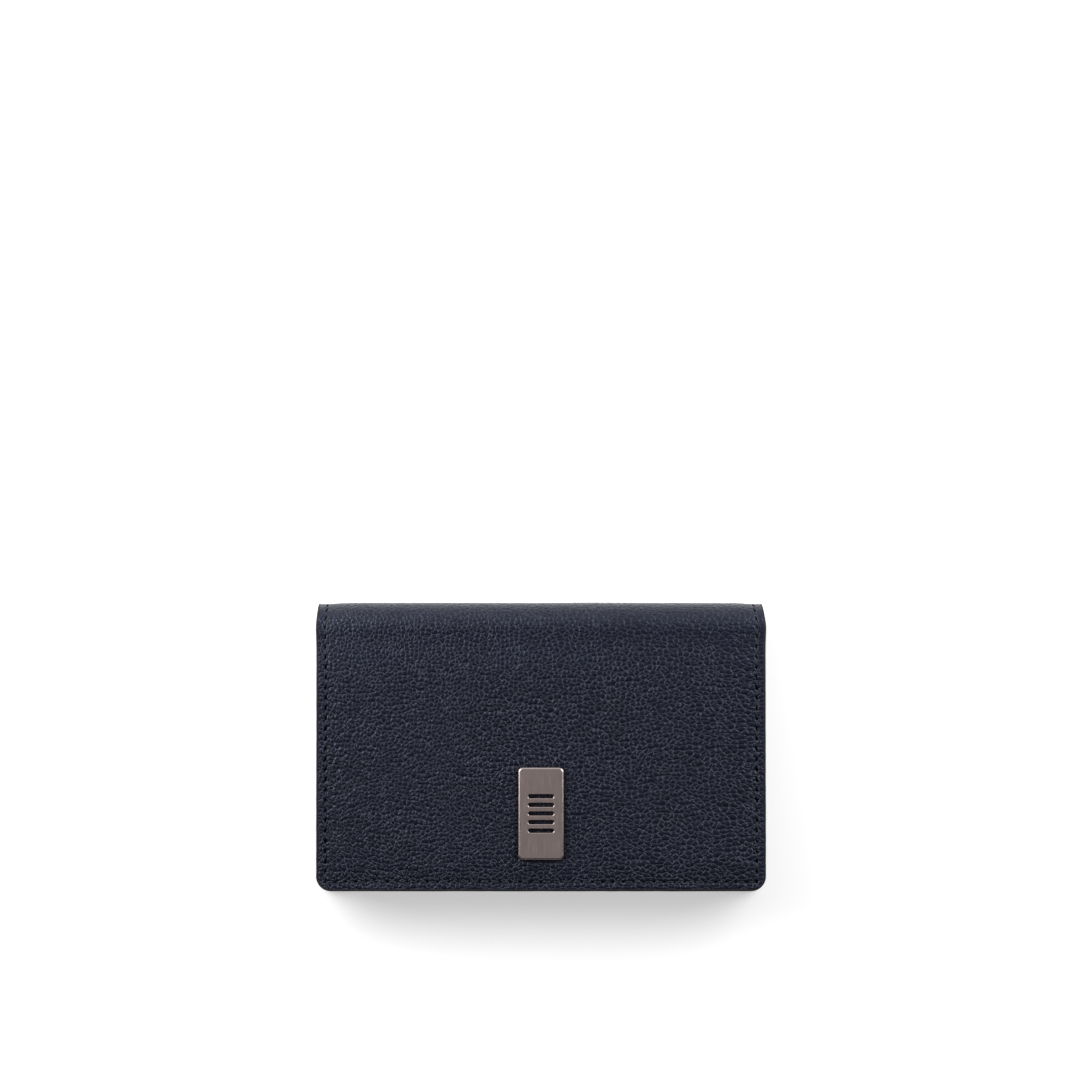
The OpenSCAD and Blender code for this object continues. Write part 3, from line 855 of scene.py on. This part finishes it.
def plain(name, dark, light, metallic, roughness, spread, specular, grain_mm, grain_depth,
          stretch=(1, 1, 1)):
    """A finish of one colour with fine grain, and a little variation in tone and gloss."""
    material, tree, shader = new_material(name)
    grain = node(tree, "TexNoise", Vector=places(tree, stretch), Scale=1 / grain_mm, Detail=4.0,
                 Roughness=0.6)
    colour = shade_between(tree, grain, 0.3, 0.7, linear(dark), linear(light))
    rough = node(tree, "MapRange", grain, 0.25, 0.75, roughness - spread, roughness + spread)
    bump = node(tree, "Bump", Height=grain, Strength=0.6, Distance=grain_depth * MM)
    connect(tree, shader.inputs, Base_Color=colour, Roughness=rough, Metallic=metallic,
            Specular_IOR_Level=specular, Normal=bump)
    return material


# colours, metallic, roughness and its spread, specular, grain in mm, its depth and its stretch
LOOKS = (
    # smooth sheepskin lining: a fine dull grain
    ("sheepskin", "#21242f", "#2a2d39", 0.0, 0.6, 0.06, 0.3, 0.35, 0.04),
    # pressed fibre board and felted interlining: flat grey with short fibres
    ("fibre_board", "#5d5953", "#777169", 0.0, 0.85, 0.05, 0.3, 0.4, 0.05, (1, 0.3, 1)),
    # acrylic edge paint, brushed on in coats: near black with a satin gleam
    ("edge_paint", "#0c0d11", "#131419", 0.0, 0.5, 0.08, 0.3, 1.6, 0.08),
    # bonded polyester thread: dark, with the grooves of its twist
    ("polyester_thread", "#101320", "#191d2d", 0.0, 0.5, 0.08, 0.4, 0.2, 0.06),
    # painted shadow in the needle holes: near black and quite dull
    ("pierced_leather", "#040406", "#08080b", 0.0, 0.9, 0.05, 0.05, 0.3, 0.02),
    # brass plated in gunmetal, tumbled: a warm dark metal with a soft gloss
    ("gunmetal_brass", "#4f4a47", "#5d5753", 1.0, 0.3, 0.06, 0.5, 0.9, 0.01),
    # zinc plate, gunmetal plated and brushed along its length: long hair lines, which are
    # drawn 0.16 mm wide, coarser than real ones, so that they show
    ("brushed_gunmetal", "#a59591", "#b7a7a3", 1.0, 0.40, 0.08, 0.5, 0.16, 0.012, (1, 0.03, 1)),
    # the same plating left polished on the bevels: bright edges
    ("polished_gunmetal", "#aa9e9b", "#b5a9a6", 1.0, 0.28, 0.04, 0.5, 1.2, 0.004))


def dress(piece, material, body=None, nodes=()):
    """Gives a piece its finish, the body it rides on and the nodes it stands for."""
    piece.data.materials.clear()
    piece.data.materials.append(finish[material])
    if body:
        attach(piece, body)
    if nodes:
        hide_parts(*nodes)
    return piece


# ---- put together ----

# drum-dyed pebbled calfskin with a satin pigment coat: navy, soft glints on each pebble
finish = {"pebbled_calf": leather("#111424", "#05060a", 0.20, (0.74, 0.78, 1.0, 1.0), 0.25, 0.018)}
for name, *look in LOOKS:
    finish[name] = plain(name, *look)


def build_case():
    """The outer case: leather, lining, painted edge, thread and interlining, in three stretches."""
    for stretch in SPANS:
        # the frame's parts that a stretch stands for: those of the spine meet within the middle one
        parts = BENDS[stretch][0] if stretch != "middle" else ()
        skin = case_sheet(f"leather_{stretch}", stretch, 0.0, SKIN, FINE, 0.14, 26, leather_relief)
        lining = case_sheet(f"lining_{stretch}", stretch, COVER, CORE, 0.8, 0.3, 14, lining_relief)
        # each layer's finish, slot, name in the frame, owners there and how deep its fold line is
        layers = (
            (skin, "pebbled_calf", "grained_leather", "leather", parts, 0.0),
            (lining, "sheepskin", "lining_leather", "lining", parts, COVER),
            (edge_paint(stretch), "edge_paint", "edge_paint", "edge_paint", parts, COVER / 2),
            (case_thread(stretch), "polyester_thread", "thread", "thread", parts, 0.0),
            # cups in the needle holes, dressed near black as painted shadow
            (needle_hole_shadows(stretch), "pierced_leather", "thread", "", (), 0.0),
            (interlining(stretch), "fibre_board", "board", "interlining", parts[1:], SKIN))
        for piece, material, slot_name, layer, owners, depth in layers:
            dress(piece, material, nodes=[f"{owner}_{layer}" for owner in owners])
            fold_lines(piece)


def build_pocket():
    """The pocket's front wall with its slots, lining, paint, thread and gusset."""
    pieces = (
        (pocket_panel("pocket_wall", notch_top, WALL_FACE, WALL_BACK, FINE, UPPER_TOP - 1),
         "pebbled_calf", "grained_leather", "front_wall"),
        (pocket_panel("slot_upper", lambda x: UPPER_TOP + 0 * x, UPPER_FACE, WALL_FACE, FINE, LOWER_TOP - 1),
         "pebbled_calf", "grained_leather", "upper_slot_panel"),
        (pocket_panel("slot_lower", lambda x: LOWER_TOP + 0 * x, LOWER_FACE, UPPER_FACE, FINE),
         "pebbled_calf", "grained_leather", "lower_slot_panel"),
        (pocket_panel("pocket_wall_lining", notch_top, WALL_UNDER, LINING_FACE, 1.0),
         "sheepskin", "lining_leather", "front_wall_lining"),
        (pocket_paint(), "edge_paint", "edge_paint", "front_edge_paint"),
        (pocket_thread(), "polyester_thread", "thread", "front_thread"))
    for piece, material, slot_name, stood_for in pieces:
        dress(piece, material, "front_wall", [stood_for])
    # the gusset rides on no body, and its placement is baked into its points
    fold = dress(gusset(), "sheepskin", nodes=["gusset"])
    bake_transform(fold)


def build_snap():
    """A press stud on the pocket and its socket on the flap's lining."""
    rivet_r, cap_r, mouth_r, wall = 0.95, 5.0, 2.42, 0.42
    low, high = span("snap_socket", "z")
    socket = turned("snap_socket_cap", [
        (rivet_r, high), (cap_r, high), (cap_r, low + 0.55), (4.9, low + 0.25), (4.65, low + 0.06),
        (4.3, low), (3.9, low + 0.03), (3.7, low + 0.16), (3.45, low + 0.2), (3.2, low + 0.12),
        (3.0, low + 0.02), (2.7, low + 0.02), (2.5, low + 0.15), (mouth_r, low + 0.4),
        (mouth_r, high - wall), (rivet_r, high - wall)], loop=True)
    dress(socket, "gunmetal_brass", "flap", ["snap_socket"])
    ring_r, wire_r = 2.35, 0.18
    spring = turned("snap_spring", [(ring_r + wire_r * math.cos(a), low + 0.62 + wire_r * math.sin(a))
                                    for a in np.linspace(0, 2 * math.pi, 10, endpoint=False)], loop=True)
    dress(spring, "polished_gunmetal", "flap")
    foot, top = span("snap_stud", "z")
    stud = turned("snap_stud_post", [
        (0, top - 0.25), (rivet_r, top - 0.25), (rivet_r, foot), (4.0, foot), (4.0, foot + 0.2),
        (3.9, foot + 0.33), (3.7, foot + 0.4), (2.6, foot + 0.4), (2.3, foot + 0.34), (1.9, foot + 0.36),
        (1.65, foot + 0.5), (1.55, foot + 0.75), (1.65, top - 0.62), (1.9, top - 0.5), (2.0, top - 0.36),
        (1.95, top - 0.2), (1.75, top - 0.07), (1.4, top), (0, top)])
    dress(stud, "gunmetal_brass", "front_wall", ["snap_stud"])


def build_badge():
    """The badge, brushed on its face and polished on its bevels, and its two posts."""
    plate = dress(badge(), "polished_gunmetal", "flap", ["badge_plate"])
    plate.data.materials.append(finish["brushed_gunmetal"])
    nearly_level = 0.97
    for face in plate.data.polygons:
        face.material_index = int(face.normal.z > nearly_level)
        face.use_smooth = face.normal.z <= nearly_level
    # each post is in the middle of a washer
    washer_d = 3.6
    low, high = span("badge_washers", "y")
    apart = high - low - washer_d
    for name, way in (("badge_post_low", -1), ("badge_post_high", 1)):
        dress(badge_post(name, BADGE_Y + way * apart / 2), "gunmetal_brass", "flap")


def build_hidden_hardware():
    """The boards, rivets and washers that keep their own shapes."""
    for name in ("back_board", "flap_board", "snap_stud_rivet", "snap_socket_rivet", "badge_washers"):
        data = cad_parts[name].data
        data.materials.clear()
        data.materials.append(finish["fibre_board" if "board" in name else "gunmetal_brass"])


# ---- floor, light and camera ----

def build_floor():
    """Matt pale paper that glows a little, so that it stays white round the piece."""
    material, tree, shader = new_material("studio_paper")
    connect(tree, shader.inputs, Base_Color=linear("#e8e8e8"), Roughness=0.9)
    path = node(tree, "LightPath")
    seen = path.outputs["Is Camera Ray"]
    for ray in ("Is Glossy Ray", "Is Transmission Ray"):
        seen = node(tree, "Math", seen, path.outputs[ray], operation="MAXIMUM")
    lift = node(tree, "Math", seen, 0.5, operation="MULTIPLY")
    glow = node(tree, "Emission", Color=(1, 1, 1, 1), Strength=lift)
    both = node(tree, "AddShader", shader, glow)
    connect(tree, tree.nodes["Material Output"].inputs, Surface=both)
    size, under = 3000, -0.3
    floor = mesh_piece("studio_floor", [(x * size, y * size, under) for x, y in
                                        ((-1, -1), (1, -1), (1, 1), (-1, 1))], [[0, 1, 2, 3]])
    floor.data.materials.append(material)


def build_dome():
    """A soft dome of light, white where it is seen straight and near the horizon in reflections."""
    world = bpy.data.worlds.new("studio_dome")
    bpy.context.scene.world = world
    world.use_nodes = True
    tree = world.node_tree
    tree.nodes.clear()
    way = node(tree, "TexCoord").outputs["Generated"]
    up = node(tree, "SeparateXYZ", Vector=way).outputs["Z"]
    # soft light spills from the wall beyond the spine and fades towards the ceiling and the front,
    # and a wide soft panel hangs overhead, a little beyond the spine
    lit = []
    for aim, fade in (((0, 0.95, -0.30), (-0.5, 0.9, 0.03, 0.92)),
                      ((0, 0.34, 0.94), (0.45, 0.98, 0.0, 0.17))):
        facing = node(tree, "VectorMath", way, aim, operation="DOT_PRODUCT").outputs["Value"]
        lit.append(node(tree, "MapRange", facing, *fade, interpolation_type="SMOOTHSTEP"))
    level = node(tree, "Math", *lit, operation="ADD")
    wall = node(tree, "MapRange", up, 0.02, 0.08, 1.0, 0.0)
    path = node(tree, "LightPath")
    mirrored = node(tree, "Math", path.outputs["Is Glossy Ray"], path.outputs["Is Transmission Ray"],
                    operation="MAXIMUM")
    wall = node(tree, "Math", wall, mirrored, operation="MULTIPLY")
    wall = node(tree, "Math", wall, path.outputs["Is Camera Ray"], operation="MAXIMUM")
    level = node(tree, "Math", level, wall, operation="MAXIMUM")
    dome = node(tree, "Background", Color=(1, 1, 1, 1), Strength=level)
    node(tree, "OutputWorld", Surface=dome)


def build_lamps():
    """A wide soft lamp low at each side, beyond the spine."""
    width = 0.26
    for name, spot, energy in (("softbox_left", (-0.25, 0.14, 0.17), 1.02),
                               ("softbox_right", (0.27, 0.16, 0.17), 0.80)):
        lamp = bpy.data.lights.new(name, "AREA")
        lamp.shape = "RECTANGLE"
        lamp.size = width
        lamp.size_y = width
        lamp.energy = energy
        holder = add_object(name, lamp)
        holder.location = spot
        holder.rotation_euler = (-holder.location).to_track_quat("-Z", "Y").to_euler()


def build_camera():
    """Looks straight down at the flap from 1.3 m, with the case below the middle of the frame."""
    distance, frame_width, to_side, aim_y = 1.3, 0.2642, -0.00025, 0.0508
    data = bpy.data.cameras.new("camera")
    data.sensor_width = 36
    data.lens = data.sensor_width * distance / frame_width
    data.clip_end = 20
    camera = add_object("camera", data)
    camera.location = (to_side, 0, TOTAL * MM + distance)
    aim = Vector((0, aim_y, TOTAL * MM)) - camera.location
    camera.rotation_euler = (math.atan2(aim.y, -aim.z), 0, 0)
    bpy.context.scene.camera = camera


build_case()
build_pocket()
build_snap()
build_badge()
build_hidden_hardware()
build_floor()
build_dome()
build_lamps()
build_camera()
bpy.context.scene.view_settings.view_transform = "Standard"

bpy.context.view_layer.update()
